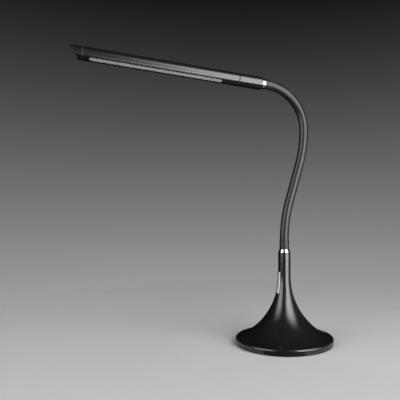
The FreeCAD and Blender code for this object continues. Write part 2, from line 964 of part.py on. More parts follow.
def step_along(point, heading, length, turn):
    """Where a run ends: its end point and heading. Heading 0 is up and 90 is towards +X."""
    before = math.radians(heading)
    after = math.radians(heading + turn)
    if turn == 0:
        move = Vector(math.sin(before), 0, math.cos(before)) * length
    else:
        radius = length / math.radians(turn)
        move = Vector(math.cos(before) - math.cos(after), 0, math.sin(after) - math.sin(before)) * radius
    return point + move, heading + turn


def place_on(runs, start, heading, distance):
    """Point and heading at a distance along the runs."""
    point = start
    for length, turn in runs:
        if distance <= length:
            return step_along(point, heading, distance, turn * distance / length)
        point, heading = step_along(point, heading, length, turn)
        distance -= length
    return step_along(point, heading, distance, 0)


def tube(runs, start, heading, low, high, radius, aside=0.0):
    """A round bar that follows the runs from one distance to another, moved aside along Y."""
    edges = []
    travelled = 0.0
    point, first_heading = place_on(runs, start, heading, low)
    first_point = point
    here = first_heading
    for length, turn in runs:
        begin, end = max(low, travelled), min(high, travelled + length)
        if end - begin > 1e-6:
            share = turn * (end - begin) / length
            middle, _ = step_along(point, here, (end - begin) / 2, share / 2)
            after, here = step_along(point, here, end - begin, share)
            if turn == 0:
                edges.append(Part.LineSegment(point, after).toShape())
            else:
                edges.append(Part.Arc(point, middle, after).toShape())
            point = after
        travelled += length
    along = Vector(math.sin(math.radians(first_heading)), 0, math.cos(math.radians(first_heading)))
    section = Part.Face(Part.Wire([Part.Circle(first_point, along, radius).toShape()]))
    bar = Part.Wire(edges).makePipe(section)
    bar.translate(Vector(0, aside, 0))
    return bar


neck_start = Vector(0, 0, 0)
collar_length = z["collar_length"].number
hinge_count = int(z["hinge_count"].number)
hinge_step = (neck_length - 2 * collar_length) / hinge_count
hinges = [collar_length + hinge_step * (number + 0.5) for number in range(hinge_count)]
insert = z["sleeve_insert"].number
overlap = z["overlap"].number
breaks = [collar_length - insert]
breaks += [collar_length + hinge_step * number for number in range(1, hinge_count)]
breaks += [neck_length - collar_length + insert]
stub_runs = neck_runs + [(z["stub_length"].number, 0)]


def neck_tube(low, high, radius, aside=0.0):
    return tube(stub_runs, neck_start, 0.0, low, high, radius, aside)


def neck_part(label, shape):
    """A piece of the neck, set in the neck's frame and then placed on the ring."""
    feature = doc.addObject("Part::Feature", label)
    feature.Shape = shape
    feature.Placement = Placement(Vector(0, 0, neck_foot.number), Rotation())
    return named(feature, label)


def neck_core(number):
    """A length of the metal hose: a cup at its lower end holds the ball of the length below."""
    first, last = number == 0, number == hinge_count
    low = 0.0 if first else hinges[number - 1]
    high = neck_length + z["stub_length"].number if last else hinges[number]
    bottom = low if first else low - z["cup_lip"].number
    top = high if last else high - z["bend_room"].number
    body = neck_tube(bottom, top, z["core_radius"].number)
    ball = z["ball_radius"].number
    if not last:
        centre, _ = place_on(stub_runs, neck_start, 0.0, high)
        neck = neck_tube(top - overlap, high, z["core_neck_radius"].number)
        body = body.fuse([neck, Part.makeSphere(ball, centre)])
    if not first:
        centre, _ = place_on(stub_runs, neck_start, 0.0, low)
        body = body.cut(Part.makeSphere(ball + part_gap.number, centre))
    bore_low = 0.0 if first else bottom - overlap
    bore_high = high if last else high + ball + overlap
    body = body.cut(neck_tube(bore_low, bore_high, z["core_bore"].number))
    return neck_part("neck_core_%d" % number, body.removeSplitter())


def neck_sleeve(number):
    """A length of the smooth outer sleeve, across one hinge of the metal hose."""
    room = seat_gap.number / 2
    low = breaks[number - 1] + room
    high = breaks[number] - room
    outer = neck_tube(low, high, z["sleeve_radius"].number)
    inner = neck_tube(low, high, z["sleeve_radius"].number - z["sleeve_wall"].number)
    return neck_part("neck_sleeve_%d" % number, outer.cut(inner))


def lead_pair(runs, start, heading, low, high):
    aside = z["lead_offset"].number
    radius = z["lead_radius"].number
    return Part.makeCompound([
        tube(runs, start, heading, low, high, radius, side) for side in (aside, -aside)
    ])


def neck_leads(number):
    room = seat_gap.number / 2
    pair = lead_pair(stub_runs, neck_start, 0.0, breaks[number - 1] + room, breaks[number] - room)
    return neck_part("neck_leads_%d" % number, pair)


def collar(label, low, high, open_at_end):
    """End sleeve of the hose, with a deeper bore where the sleeve goes in."""
    body = neck_tube(low, high, z["collar_radius"].number)
    rounds = []
    for number, edge in enumerate(body.Edges):
        if edge.Length > 2 * z["collar_radius"].number * 3 and len(edge.Vertexes) == 1:
            rounds.append(edge)
    body = body.makeFillet(z["collar_round"].number, rounds)
    body = body.cut(neck_tube(low, high, z["core_radius"].number + seat_gap.number))
    wide = z["sleeve_radius"].number + seat_gap.number
    deep = insert + seat_gap.number
    mouth = (high - deep, high) if open_at_end else (low, low + deep)
    body = body.cut(neck_tube(mouth[0], mouth[1], wide))
    return neck_part(label, body)


def base_leads():
    """Lead pair from the header, over the ballast and up the column into the hose."""
    rise = z["header_lead_rise"].number
    bend_in = z["header_lead_bend"].number
    bend_up = z["column_lead_bend"].number
    height = board_high.number + z["header_height"].number
    across = header_place.number - bend_in - bend_up
    used = height + rise + bend_in + bend_up
    runs = [
        (rise, 0),
        (bend_in * math.pi / 2, -90),
        (across, 0),
        (bend_up * math.pi / 2, 90),
        (neck_foot.number - used, 0),
    ]
    length = sum(run for run, turn in runs)
    start = Vector(header_place.number, 0, height)
    shape = lead_pair(runs + neck_runs, start, 0.0, 0.0, length + breaks[0] - seat_gap.number / 2)
    feature = doc.addObject("Part::Feature", "base_leads")
    feature.Shape = shape
    feature.Placement = Placement()
    return named(feature, "base_leads")


def touch_cable():
    """Thin cable from the sensor board down to the header."""
    bend = z["cable_bend"].number
    radius = z["cable_radius"].number
    level = z["cable_level"].number
    side = z["header_width"].number / 2 - 2 * radius
    from_x = -(sensor_face.number - z["sensor_thickness"].number / 2)
    to_x = header_place.number + z["header_length"].number / 4
    top = sensor_low.number - slip.number
    height = board_high.number + z["header_height"].number
    runs = [
        (top - level - bend, 0),
        (bend * math.pi / 2, -90),
        (to_x - from_x - 2 * bend, 0),
        (bend * math.pi / 2, 90),
        (level - bend - height, 0),
    ]
    start = Vector(from_x, side, top)
    shape = tube(runs, start, downward, 0.0, sum(run for run, turn in runs), radius)
    feature = doc.addObject("Part::Feature", "touch_cable")
    feature.Shape = shape
    feature.Placement = Placement()
    return named(feature, "touch_cable")


# Head frames. Both stand at the end of the hose with +Z along the head's axis towards its tip.
# The fixed one keeps Y; in the turning one +X points out of the light window.
head_foot, head_heading = place_on(neck_runs, Vector(0, 0, neck_foot.number), 0.0, neck_length)
barrel_place = Placement(head_foot, Rotation(Vector(0, 1, 0), head_heading))
# Straight down is the frame's -X, and the head is turned from there towards -Y
window_turn = downward + z["head_twist_angle"].number
head_place = barrel_place.multiply(Placement(Vector(), Rotation(Vector(0, 0, 1), window_turn)))

barrel_start = z["head_ring_length"]
tube_start = z["barrel_end"] + z["seam_width"]
tube_inner = z["head_radius"] - z["head_wall"]
plug_end = tube_start + z["plug_length"]
nut_seat = tube_start + z["plug_floor"]
window_end = z["window_start"] + z["window_length"]
cap_start = window_end + z["cap_room"]
cap_middle = cap_start + z["cap_length"]


def head_ring():
    body = new_body("head_ring")
    sketch = new_sketch(body, "XZ_Plane")
    block_outline(sketch, z["core_radius"] + seat_gap, z["head_ring_radius"], size(0), barrel_start)
    revolve(body, sketch)
    names = ring_edges(body.Shape, z["head_ring_radius"], size(0))
    names += ring_edges(body.Shape, z["head_ring_radius"], barrel_start)
    dress(body, "Fillet", names, z["ring_round"])
    body.Placement = barrel_place
    return body


def socket_barrel():
    body = new_body("socket_barrel")
    end, wall = z["barrel_end"], z["barrel_end_wall"]
    outer, inner = z["head_radius"], z["head_radius"] - z["barrel_wall"]
    sketch = new_sketch(body, "XZ_Plane")
    outline(sketch, [
        (z["core_radius"] + seat_gap, barrel_start),
        (outer, barrel_start),
        (outer, end),
        (z["spindle_radius"] + seat_gap, end),
        (z["spindle_radius"] + seat_gap, end - wall),
        (inner, end - wall),
        (inner, barrel_start + wall),
        (z["core_radius"] + seat_gap, barrel_start + wall),
    ])
    revolve(body, sketch)
    dress(body, "Fillet", ring_edges(body.Shape, outer, barrel_start), z["barrel_round"])
    dress(body, "Fillet", ring_edges(body.Shape, outer, end), z["seam_round"])

    # Curved slot that stops the swivel at both ends of its turn
    sketch = new_sketch(body, "XZ_Plane")
    middle, half = z["stop_pin_circle"], z["stop_pin_radius"] + part_gap
    deep = end - z["stop_pin_reach"] - part_gap
    block_outline(sketch, -(middle + half), -(middle - half), deep, end + seat_gap)
    pin_angle = math.degrees(2 * math.atan(half.number / middle.number))
    groove(body, sketch, z["twist_span_angle"] + pin_angle)
    body.Placement = barrel_place
    return body


def swivel_spindle():
    """Hollow bolt that the head turns on; its flange sits inside the barrel."""
    body = new_body("swivel_spindle")
    low = z["barrel_end"] - z["barrel_end_wall"] - z["spindle_flange"]
    sketch = new_sketch(body, "XZ_Plane")
    outline(sketch, [
        (z["spindle_bore"], low),
        (z["spindle_flange_radius"], low),
        (z["spindle_flange_radius"], low + z["spindle_flange"]),
        (z["spindle_radius"], low + z["spindle_flange"]),
        (z["spindle_radius"], z["spindle_end"]),
        (z["spindle_bore"], z["spindle_end"]),
    ])
    revolve(body, sketch)
    body.Placement = barrel_place
    return body


def slip_washer():
    inner = z["spindle_radius"] + slip
    body = washer_body(
        "slip_washer", z["barrel_end"], z["seam_width"] - slip, inner, z["slip_washer_radius"],
    )
    body.Placement = barrel_place
    return body


def spring_washer():
    inner = z["spindle_radius"] + slip
    low = nut_seat + slip
    body = washer_body("spring_washer", low, z["washer_thickness"], inner, z["spring_washer_radius"])
    body.Placement = barrel_place
    return body


def swivel_nut():
    low = nut_seat + slip + z["washer_thickness"]
    body = nut_body(
        "swivel_nut", low, z["head_nut_thickness"], z["head_nut_flats"], z["spindle_radius"] + slip,
    )
    body.Placement = barrel_place
    return body


def stem_leads():
    low = z["barrel_end"] - z["barrel_end_wall"] - z["spindle_flange"] - z["seat_gap"]
    high = neck_length + low.number
    runs = neck_runs + [(low.number, 0)]
    pair = lead_pair(runs, neck_start, 0.0, breaks[-1] + seat_gap.number / 2, high)
    return neck_part("stem_leads", pair)


def head_tube():
    body = new_body("head_tube")
    sketch = new_sketch(body, "XZ_Plane")
    block_outline(sketch, tube_inner, z["head_radius"], tube_start, cap_start)
    revolve(body, sketch)
    names = ring_edges(body.Shape, z["head_radius"], tube_start)
    names += ring_edges(body.Shape, z["head_radius"], cap_start)
    dress(body, "Fillet", names, z["seam_round"])
    sketch = new_sketch(body, "YZ_Plane", z["flange_level"] / 2)
    slot_outline(sketch, z["window_start"], window_end, z["window_width"])
    pocket(body, sketch, z["head_radius"], reverse=True)
    body.Placement = head_place
    return body


def head_plug():
    """End plug in the head tube that turns on the spindle."""
    body = new_body("head_plug")
    bore = z["spindle_radius"] + slip
    sketch = new_sketch(body, "XZ_Plane")
    outline(sketch, [
        (bore, tube_start),
        (tube_inner - slip, tube_start),
        (tube_inner - slip, plug_end),
        (z["plug_cup_radius"], plug_end),
        (z["plug_cup_radius"], nut_seat),
        (bore, nut_seat),
    ])
    revolve(body, sketch)
    sketch = new_sketch(body, "XY_Plane", tube_start)
    circle(sketch, z["stop_pin_circle"], 0, z["stop_pin_radius"] + slip)
    pocket(body, sketch, z["plug_floor"] / 2, reverse=True)
    body.Placement = head_place
    return body


def stop_pin():
    pin = doc.addObject("Part::Cylinder", "stop_pin")
    low = z["barrel_end"] - z["stop_pin_reach"]
    bind(pin, "Radius", z["stop_pin_radius"])
    bind(pin, "Height", tube_start + z["plug_floor"] / 2 - slip - low)
    pin.Placement = head_place.multiply(Placement(
        Vector(z["stop_pin_circle"].number, 0, low.number), Rotation(),
    ))
    return named(pin, "stop_pin")


def along_window(level, thickness, start, end, width, label):
    """A slot-shaped strip under the window, from one level outward."""
    body = new_body(label)
    sketch = new_sketch(body, "YZ_Plane", level)
    slot_outline(sketch, start, end, width)
    pad(body, sketch, thickness)
    return body


def diffuser():
    room = z["bezel_width"]
    end_room = z["flange_end_room"]
    body = along_window(
        z["flange_level"] - z["flange_thickness"], z["flange_thickness"],
        z["window_start"] - end_room, window_end + end_room, z["flange_width"], "diffuser",
    )
    sketch = new_sketch(body, "YZ_Plane", z["flange_level"])
    slot_outline(
        sketch, z["window_start"] + room, window_end - room, z["window_width"] - 2 * room,
    )
    pad(body, sketch, z["diffuser_level"] - z["flange_level"])
    body.Placement = head_place
    return body


def window_bezel():
    """Dark frame between the edge of the slot and the diffuser."""
    room = seat_gap
    level = z["flange_level"] + slip
    body = along_window(
        level, z["bezel_level"] - level,
        z["window_start"] + room, window_end - room, z["window_width"] - 2 * room, "window_bezel",
    )
    inner = z["bezel_width"] - room
    sketch = new_sketch(body, "YZ_Plane", level)
    slot_outline(
        sketch, z["window_start"] + inner, window_end - inner, z["window_width"] - 2 * inner,
    )
    pocket(body, sketch, z["bezel_level"] - level, reverse=True)
    body.Placement = head_place
    return body


light_start = plug_end + z["light_board_room"]
light_end = window_end + z["carrier_end_room"]


def led_carrier():
    """Heat-spreading bar with a channel that holds the light board and rails that hold the diffuser."""
    start = light_start + z["carrier_setback"]
    length = light_end - start
    rail_level = z["flange_level"] - z["flange_thickness"] - slip
    rod = doc.addObject("Part::Cylinder", "carrier_rod")
    bind(rod, "Radius", tube_inner - seat_gap)
    bind(rod, "Height", length)
    bind(rod, "Placement.Base.z", start)
    slab = doc.addObject("Part::Box", "carrier_slab")
    bind(slab, "Length", rail_level - z["carrier_floor"])
    bind(slab, "Width", 2 * z["head_radius"])
    bind(slab, "Height", length)
    bind(slab, "Placement.Base.x", z["carrier_floor"])
    bind(slab, "Placement.Base.y", -z["head_radius"])
    bind(slab, "Placement.Base.z", start)
    bar = doc.addObject("Part::MultiCommon", "carrier_bar")
    bar.Shapes = [rod, slab]
    channel = doc.addObject("Part::Box", "carrier_channel")
    bind(channel, "Length", z["head_radius"])
    bind(channel, "Width", z["carrier_channel"])
    bind(channel, "Height", length + 2 * z["overlap"])
    bind(channel, "Placement.Base.x", z["carrier_level"])
    bind(channel, "Placement.Base.y", -z["carrier_channel"] / 2)
    bind(channel, "Placement.Base.z", start - z["overlap"])
    carrier = doc.addObject("Part::Cut", "led_carrier")
    carrier.Base = bar
    carrier.Tool = channel
    carrier.Placement = head_place
    return named(carrier, "led_carrier")


def led_board():
    board = doc.addObject("Part::Box", "led_board")
    bind(board, "Length", z["light_board_thickness"])
    bind(board, "Width", z["light_board_width"])
    bind(board, "Height", light_end - light_start)
    corner = Vector(z["carrier_level"].number, -z["light_board_width"].number / 2, light_start.number)
    board.Placement = head_place.multiply(Placement(corner, Rotation()))
    return named(board, "led_board")


def leds():
    """A row of light-emitting diodes on the board, evenly spaced behind the window."""
    count = int(z["diode_count"].number)
    first = z["window_start"] + z["window_width"] / 2
    last = window_end - z["window_width"] / 2
    row = []
    level = z["carrier_level"] + z["light_board_thickness"]
    for number in range(count):
        along = first + (last - first) * (number / (count - 1))
        diode = doc.addObject("Part::Box", "led_%d" % (number + 1))
        bind(diode, "Length", z["diode_height"])
        bind(diode, "Width", z["diode_width"])
        bind(diode, "Height", z["diode_length"])
        bind(diode, "Placement.Base.x", level)
        bind(diode, "Placement.Base.y", -z["diode_width"] / 2)
        bind(diode, "Placement.Base.z", along - z["diode_length"] / 2)
        row.append(diode)
    group = doc.addObject("Part::Compound", "leds")
    group.Links = row
    group.Placement = head_place
    return named(group, "leds")


def head_leads():
    """Lead pair from the spindle's foot through its bore, then across to the end of the light board."""
    bend = z["head_lead_bend"].number
    level = z["carrier_level"].number + z["light_board_thickness"].number / 2
    low = z["barrel_end"].number - z["barrel_end_wall"].number - z["spindle_flange"].number
    slant = (level - 2 * bend * (1 - math.cos(math.pi / 4))) * math.sqrt(2)
    along = 2 * bend * math.sin(math.pi / 4) + slant / math.sqrt(2)
    straight = light_start.number - slip.number - along - low
    runs = [
        (straight, 0),
        (bend * math.pi / 4, 45),
        (slant, 0),
        (bend * math.pi / 4, -45),
    ]
    total = sum(length for length, turn in runs)
    pair = lead_pair(runs, Vector(0, 0, low), 0.0, 0.0, total)
    feature = doc.addObject("Part::Feature", "head_leads")
    feature.Shape = pair
    feature.Placement = head_place
    return named(feature, "head_leads")


def slash_space(name, depth):
    """The space beyond the tip's slash, moved back into the cap by a depth."""
    reach = 4 * z["head_radius"]
    space = doc.addObject("Part::Box", name)
    for side in ("Length", "Width", "Height"):
        bind(space, side, reach)
    # The slash's short side is turned round the head's axis, away from the window
    turn = Rotation(Vector(0, 0, 1), -z["cap_turn_angle"].number)
    tilt = Rotation(Vector(0, 1, 0), z["cap_slash_angle"].number)
    level = cap_middle.number - depth.number / cosine(z["cap_slash_angle"]).number
    slash = Placement(Vector(0, 0, level), turn.multiply(tilt))
    half = reach.number / 2
    space.Placement = slash.multiply(Placement(Vector(-half, -half, 0), Rotation()))
    return space


def tip_cap():
    low = cap_start + z["cap_seam"]
    reach = cap_middle + z["head_radius"] * tangent(z["cap_slash_angle"])
    barrel = doc.addObject("Part::Cylinder", "tip_barrel")
    bind(barrel, "Radius", z["head_radius"])
    bind(barrel, "Height", reach - low)
    bind(barrel, "Placement.Base.z", low)
    plug = doc.addObject("Part::Cylinder", "tip_plug")
    bind(plug, "Radius", tube_inner - slip)
    bind(plug, "Height", z["cap_plug_length"])
    bind(plug, "Placement.Base.z", low - z["cap_plug_length"])
    whole = doc.addObject("Part::MultiFuse", "tip_whole")
    whole.Shapes = [barrel, plug]
    cut = doc.addObject("Part::Cut", "tip_slashed")
    cut.Base = whole
    cut.Tool = slash_space("tip_slash", size(0))
    well = doc.addObject("Part::Cylinder", "tip_well")
    bind(well, "Radius", z["head_radius"] - z["cap_lip"])
    bind(well, "Height", reach - low)
    bind(well, "Placement.Base.z", low)
    sunk = doc.addObject("Part::MultiCommon", "tip_sunk")
    sunk.Shapes = [well, slash_space("tip_floor", z["cap_recess"])]
    cap = doc.addObject("Part::Cut", "tip_cap")
    cap.Base = cut
    cap.Tool = sunk
    cap.Placement = head_place
    return named(cap, "tip_cap")


def tip_disc():
    """Grey slanted face set into the tip."""
    low = cap_start + z["cap_seam"]
    reach = cap_middle + z["head_radius"] * tangent(z["cap_slash_angle"])
    rod = doc.addObject("Part::Cylinder", "disc_rod")
    bind(rod, "Radius", z["head_radius"] - z["cap_lip"] - slip)
    bind(rod, "Height", reach - low)
    bind(rod, "Placement.Base.z", low)
    sheet_part = doc.addObject("Part::MultiCommon", "disc_deep")
    sheet_part.Shapes = [rod, slash_space("disc_floor", z["cap_recess"] - slip)]
    disc = doc.addObject("Part::Cut", "tip_disc")
    disc.Base = sheet_part
    disc.Tool = slash_space("disc_top", z["cap_recess"] - slip - z["disc_thickness"])
    disc.Placement = head_place
    return named(disc, "tip_disc")


foot_pad()
base_plate()
plate_screws()
base_shell()
ballast_weight()
weight_screws()
control_board()
board_screws()
board_parts()
dc_jack()
jack_pin()
touch_panel()
touch_board()
touch_contacts()
touch_cable()
neck_ring()
neck_nipple()
neck_washer()
neck_nut()
collar("lower_collar", 0.0, collar_length, True)
base_leads()
for link in range(hinge_count + 1):
    neck_core(link)
for link in range(1, hinge_count + 1):
    neck_sleeve(link)
    neck_leads(link)
collar("upper_collar", neck_length - collar_length, neck_length, False)
head_ring()
socket_barrel()
swivel_spindle()
slip_washer()
spring_washer()
swivel_nut()
stem_leads()
head_tube()
head_plug()
stop_pin()
diffuser()
window_bezel()
led_carrier()
led_board()
leds()
head_leads()
tip_cap()
tip_disc()
doc.recompute()

for thing in doc.Objects:
    if "Invalid" in thing.State or "Error" in thing.State:
        raise RuntimeError("%s did not compute" % thing.Name)
for thing in sub_parts:
    if thing.Shape.isNull() or not thing.Shape.isValid():
        raise RuntimeError("%s has no valid shape" % thing.Label)

os.makedirs("parts", exist_ok=True)
for thing in sub_parts:
    thing.Shape.exportStep(os.path.join("parts", thing.Label + ".step"))
print("sub-parts: %d" % len(sub_parts))
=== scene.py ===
import json
import math
import bmesh
import bpy
from mathutils import Matrix, Vector


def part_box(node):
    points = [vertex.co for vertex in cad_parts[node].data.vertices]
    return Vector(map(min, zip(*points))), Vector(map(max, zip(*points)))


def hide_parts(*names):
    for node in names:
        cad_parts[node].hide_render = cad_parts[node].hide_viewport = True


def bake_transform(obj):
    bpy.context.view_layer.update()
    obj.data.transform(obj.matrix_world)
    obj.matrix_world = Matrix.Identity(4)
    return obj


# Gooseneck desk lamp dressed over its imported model, in metres
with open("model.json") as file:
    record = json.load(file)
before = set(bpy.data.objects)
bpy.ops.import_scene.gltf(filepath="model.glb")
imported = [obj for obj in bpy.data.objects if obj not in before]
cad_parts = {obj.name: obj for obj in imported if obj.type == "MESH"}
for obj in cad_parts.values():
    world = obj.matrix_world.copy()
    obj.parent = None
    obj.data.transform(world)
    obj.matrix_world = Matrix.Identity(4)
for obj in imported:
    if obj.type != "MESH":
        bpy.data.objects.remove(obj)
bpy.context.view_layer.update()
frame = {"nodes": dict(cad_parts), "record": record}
nodes = frame["nodes"]
mm = 0.001
print("frame loaded:", len(nodes), "nodes")

noiseLow, noiseHigh = 0.3, 0.7  # most of a noise's values lie between these
noiseDetail = {"colour": 4.0, "gloss": 6.0, "grain": 3.0}
edgeWearAndHighlight = {
    "samples": 4,  # of the rounded-off normal
    "bareAt": 0.72, "wholeAt": 0.985,  # how far that normal agrees with the true one
    "patchLow": 0.35, "patchHigh": 0.62,  # the noise that breaks up an edge line, rubbed wear on most finishes and a painted highlight on the tip cap
}


def newNode(tree, kind, **settings):
    node = tree.nodes.new(kind)
    for name, value in settings.items():
        setattr(node, name, value)
    return node


def noiseField(tree, place, perMetre, detail):
    noise = newNode(tree, "ShaderNodeTexNoise")
    noise.inputs["Scale"].default_value = perMetre
    noise.inputs["Detail"].default_value = detail
    tree.links.new(place, noise.inputs["Vector"])
    return noise.outputs["Fac"]


def spread(tree, value, low, high, fromLow=noiseLow, fromHigh=noiseHigh, curve="LINEAR"):
    band = newNode(tree, "ShaderNodeMapRange", interpolation_type=curve)
    band.inputs["From Min"].default_value = fromLow
    band.inputs["From Max"].default_value = fromHigh
    band.inputs["To Min"].default_value = low
    band.inputs["To Max"].default_value = high
    tree.links.new(value, band.inputs["Value"])
    return band.outputs["Result"]


def mixColours(tree, factor, first, second):
    # a colour mix has its factor at input 0, its two ends at 6 and 7 and its result at output 2
    mix = newNode(tree, "ShaderNodeMix", data_type="RGBA")
    for end, value in ((6, first), (7, second)):
        if isinstance(value, bpy.types.NodeSocket):
            tree.links.new(value, mix.inputs[end])
        else:
            mix.inputs[end].default_value = (*value, 1.0)
    tree.links.new(factor, mix.inputs[0])
    return mix.outputs[2]


def rubbedAndHighlightEdges(tree, place, width, perMetre):
    # where a rounded-off normal leaves the true one, broken up by a noise
    bevel = newNode(tree, "ShaderNodeBevel", samples=edgeWearAndHighlight["samples"])
    bevel.inputs["Radius"].default_value = width
    face = newNode(tree, "ShaderNodeNewGeometry")
    facing = newNode(tree, "ShaderNodeVectorMath", operation="DOT_PRODUCT")
    tree.links.new(bevel.outputs["Normal"], facing.inputs[0])
    tree.links.new(face.outputs["Normal"], facing.inputs[1])
    edge = spread(tree, facing.outputs["Value"], 1.0, 0.0, edgeWearAndHighlight["bareAt"], edgeWearAndHighlight["wholeAt"])
    field = noiseField(tree, place, perMetre, noiseDetail["colour"])
    patches = spread(tree, field, 0.0, 1.0, edgeWearAndHighlight["patchLow"], edgeWearAndHighlight["patchHigh"])
    both = newNode(tree, "ShaderNodeMath", operation="MULTIPLY", use_clamp=True)
    tree.links.new(edge, both.inputs[0])
    tree.links.new(patches, both.inputs[1])
    return both.outputs[0]


def addWearAndHighlight(tree, place, look, colour, gloss):
    # rubbed edges are paler and a little smoother than the rest; on the tip cap the paler edge is a
    # painted highlight
    amount = newNode(tree, "ShaderNodeMath", operation="MULTIPLY")
    amount.inputs[1].default_value = look["wear"]
    tree.links.new(rubbedAndHighlightEdges(tree, place, look["wearWidth"], look["wearPerMetre"]), amount.inputs[0])
    wornAndHighlighted = mixColours(tree, amount.outputs[0], colour, look["wearAndHighlightColour"])
    polish = newNode(tree, "ShaderNodeMath", operation="MULTIPLY_ADD")
    polish.inputs[1].default_value = -look["wearPolish"]
    tree.links.new(amount.outputs[0], polish.inputs[0])
    tree.links.new(gloss, polish.inputs[2])
    return wornAndHighlighted, polish.outputs[0]


def makeFinish(name, look):
    # colour drift, uneven gloss, fine surface relief and paler edges, which are rubbed wear on most
    # finishes and a painted highlight on the tip cap, all from noises in metres
    finish = bpy.data.materials.new(name)
    finish.use_nodes = True
    tree = finish.node_tree
    shader = tree.nodes["Principled BSDF"]
    place = newNode(tree, "ShaderNodeTexCoord").outputs["Object"]
    grainPlace = place
    if "stretch" in look:
        squeeze = newNode(tree, "ShaderNodeMapping")
        squeeze.inputs["Scale"].default_value = look["stretch"]
        tree.links.new(place, squeeze.inputs["Vector"])
        grainPlace = squeeze.outputs["Vector"]
    drift = noiseField(tree, place, look["driftPerMetre"], noiseDetail["colour"])
    colour = mixColours(tree, spread(tree, drift, 0.0, 1.0), look["colour"], look["colourDrift"])
    unevenness = noiseField(tree, grainPlace, look["glossPerMetre"], noiseDetail["gloss"])
    gloss = spread(tree, unevenness, *look["roughness"])
    if "wear" in look:
        colour, gloss = addWearAndHighlight(tree, place, look, colour, gloss)
    tree.links.new(colour, shader.inputs["Base Color"])
    tree.links.new(gloss, shader.inputs["Roughness"])
    grain = noiseField(tree, grainPlace, look["grainPerMetre"], noiseDetail["grain"])
    relief = newNode(tree, "ShaderNodeBump")
    relief.inputs["Strength"].default_value = look["relief"]
    relief.inputs["Distance"].default_value = look["reliefDepth"]
    tree.links.new(grain, relief.inputs["Height"])
    tree.links.new(relief.outputs["Normal"], shader.inputs["Normal"])
    for socket, value in look.get("sockets", {}).items():
        shader.inputs[socket].default_value = value
    return finish


# outer finishes, by the record's material slots; the tip cap's finish alone isn't one of them
satinBlack = {
    "colour": (0.0055, 0.0055, 0.0058), "colourDrift": (0.0072, 0.0072, 0.0075), "driftPerMetre": 45.0,
    "roughness": (0.18, 0.22), "glossPerMetre": 160.0,
    "grainPerMetre": 2600.0, "relief": 0.04, "reliefDepth": 0.00002,
    "wear": 0.5, "wearWidth": 0.0006, "wearPerMetre": 300.0,
    "wearAndHighlightColour": (0.035, 0.035, 0.036), "wearPolish": 0.08,
    "sockets": {"IOR": 1.62},
}
finishes = {
    "base_black": makeFinish("basePaint", satinBlack),
    "head_black": makeFinish("headPaint", {**satinBlack, "driftPerMetre": 60.0}),
    # the tip cap's much paler edges are a painted highlight along its edges, so that its seam shows as a
    # thin light line
    "cap_black_painted_highlight": makeFinish("capPaintPaintedHighlight", {
        **satinBlack, "driftPerMetre": 90.0, "wear": 1.0, "wearWidth": 0.0009,
        "wearAndHighlightColour": (0.16, 0.16, 0.163),
    }),
    "barrel_black": makeFinish("barrelPaint", {**satinBlack, "driftPerMetre": 80.0}),
    "collar_black": makeFinish("collarPaint", {
        **satinBlack, "colour": (0.010, 0.010, 0.0103), "colourDrift": (0.013, 0.013, 0.0133),
        "roughness": (0.34, 0.42), "sockets": {"IOR": 1.40},
    }),
    "hose_sleeve": makeFinish("hoseRubber", {
        "colour": (0.009, 0.009, 0.0093), "colourDrift": (0.012, 0.012, 0.0123), "driftPerMetre": 70.0,
        "roughness": (0.25, 0.31), "glossPerMetre": 420.0,
        "grainPerMetre": 3400.0, "relief": 0.08, "reliefDepth": 0.00003,
        "sockets": {"IOR": 1.4},
    }),
    "ring_chrome": makeFinish("ringChrome", {
        "colour": (0.46, 0.46, 0.465), "colourDrift": (0.42, 0.42, 0.43), "driftPerMetre": 90.0,
        "roughness": (0.05, 0.11), "glossPerMetre": 700.0, "stretch": (1.0, 1.0, 9.0),
        "grainPerMetre": 1500.0, "relief": 0.04, "reliefDepth": 0.00002,
        "wear": 0.6, "wearWidth": 0.0004, "wearPerMetre": 500.0,
        "wearAndHighlightColour": (0.9, 0.9, 0.9), "wearPolish": 0.02,
        "sockets": {"Metallic": 1.0},
    }),
    "panel_grey": makeFinish("panelSilver", {
        "colour": (0.50, 0.50, 0.505), "colourDrift": (0.54, 0.54, 0.545), "driftPerMetre": 130.0,
        "roughness": (0.34, 0.42), "glossPerMetre": 900.0, "stretch": (1.0, 1.0, 0.08),
        "grainPerMetre": 4200.0, "relief": 0.10, "reliefDepth": 0.00003,
        "wear": 0.7, "wearWidth": 0.0004, "wearPerMetre": 500.0,
        "wearAndHighlightColour": (0.72, 0.72, 0.72), "wearPolish": 0.06,
        "sockets": {"Metallic": 0.6},
    }),
    "bezel_black": makeFinish("bezelBlack", {
        "colour": (0.008, 0.008, 0.0085), "colourDrift": (0.012, 0.012, 0.012), "driftPerMetre": 100.0,
        "roughness": (0.38, 0.48), "glossPerMetre": 600.0,
        "grainPerMetre": 4000.0, "relief": 0.15, "reliefDepth": 0.00003,
        "sockets": {"Specular IOR Level": 0.15},
    }),
    "diffuser_frost": makeFinish("diffuserFrost", {
        "colour": (0.25, 0.25, 0.247), "colourDrift": (0.28, 0.28, 0.276), "driftPerMetre": 35.0,
        "roughness": (0.42, 0.55), "glossPerMetre": 500.0,
        "grainPerMetre": 3600.0, "relief": 0.1, "reliefDepth": 0.00004,
        "sockets": {"IOR": 1.49},
    }),
    "tip_grey": makeFinish("tipGrey", {
        "colour": (0.030, 0.030, 0.031), "colourDrift": (0.040, 0.040, 0.041), "driftPerMetre": 150.0,
        "roughness": (0.38, 0.48), "glossPerMetre": 500.0,
        "grainPerMetre": 3200.0, "relief": 0.2, "reliefDepth": 0.00004,
    }),
    "foot_rubber": makeFinish("footRubber", {
        "colour": (0.013, 0.013, 0.013), "colourDrift": (0.022, 0.021, 0.020), "driftPerMetre": 60.0,
        "roughness": (0.72, 0.88), "glossPerMetre": 300.0,
        "grainPerMetre": 1600.0, "relief": 0.5, "reliefDepth": 0.00012,
    }),
}

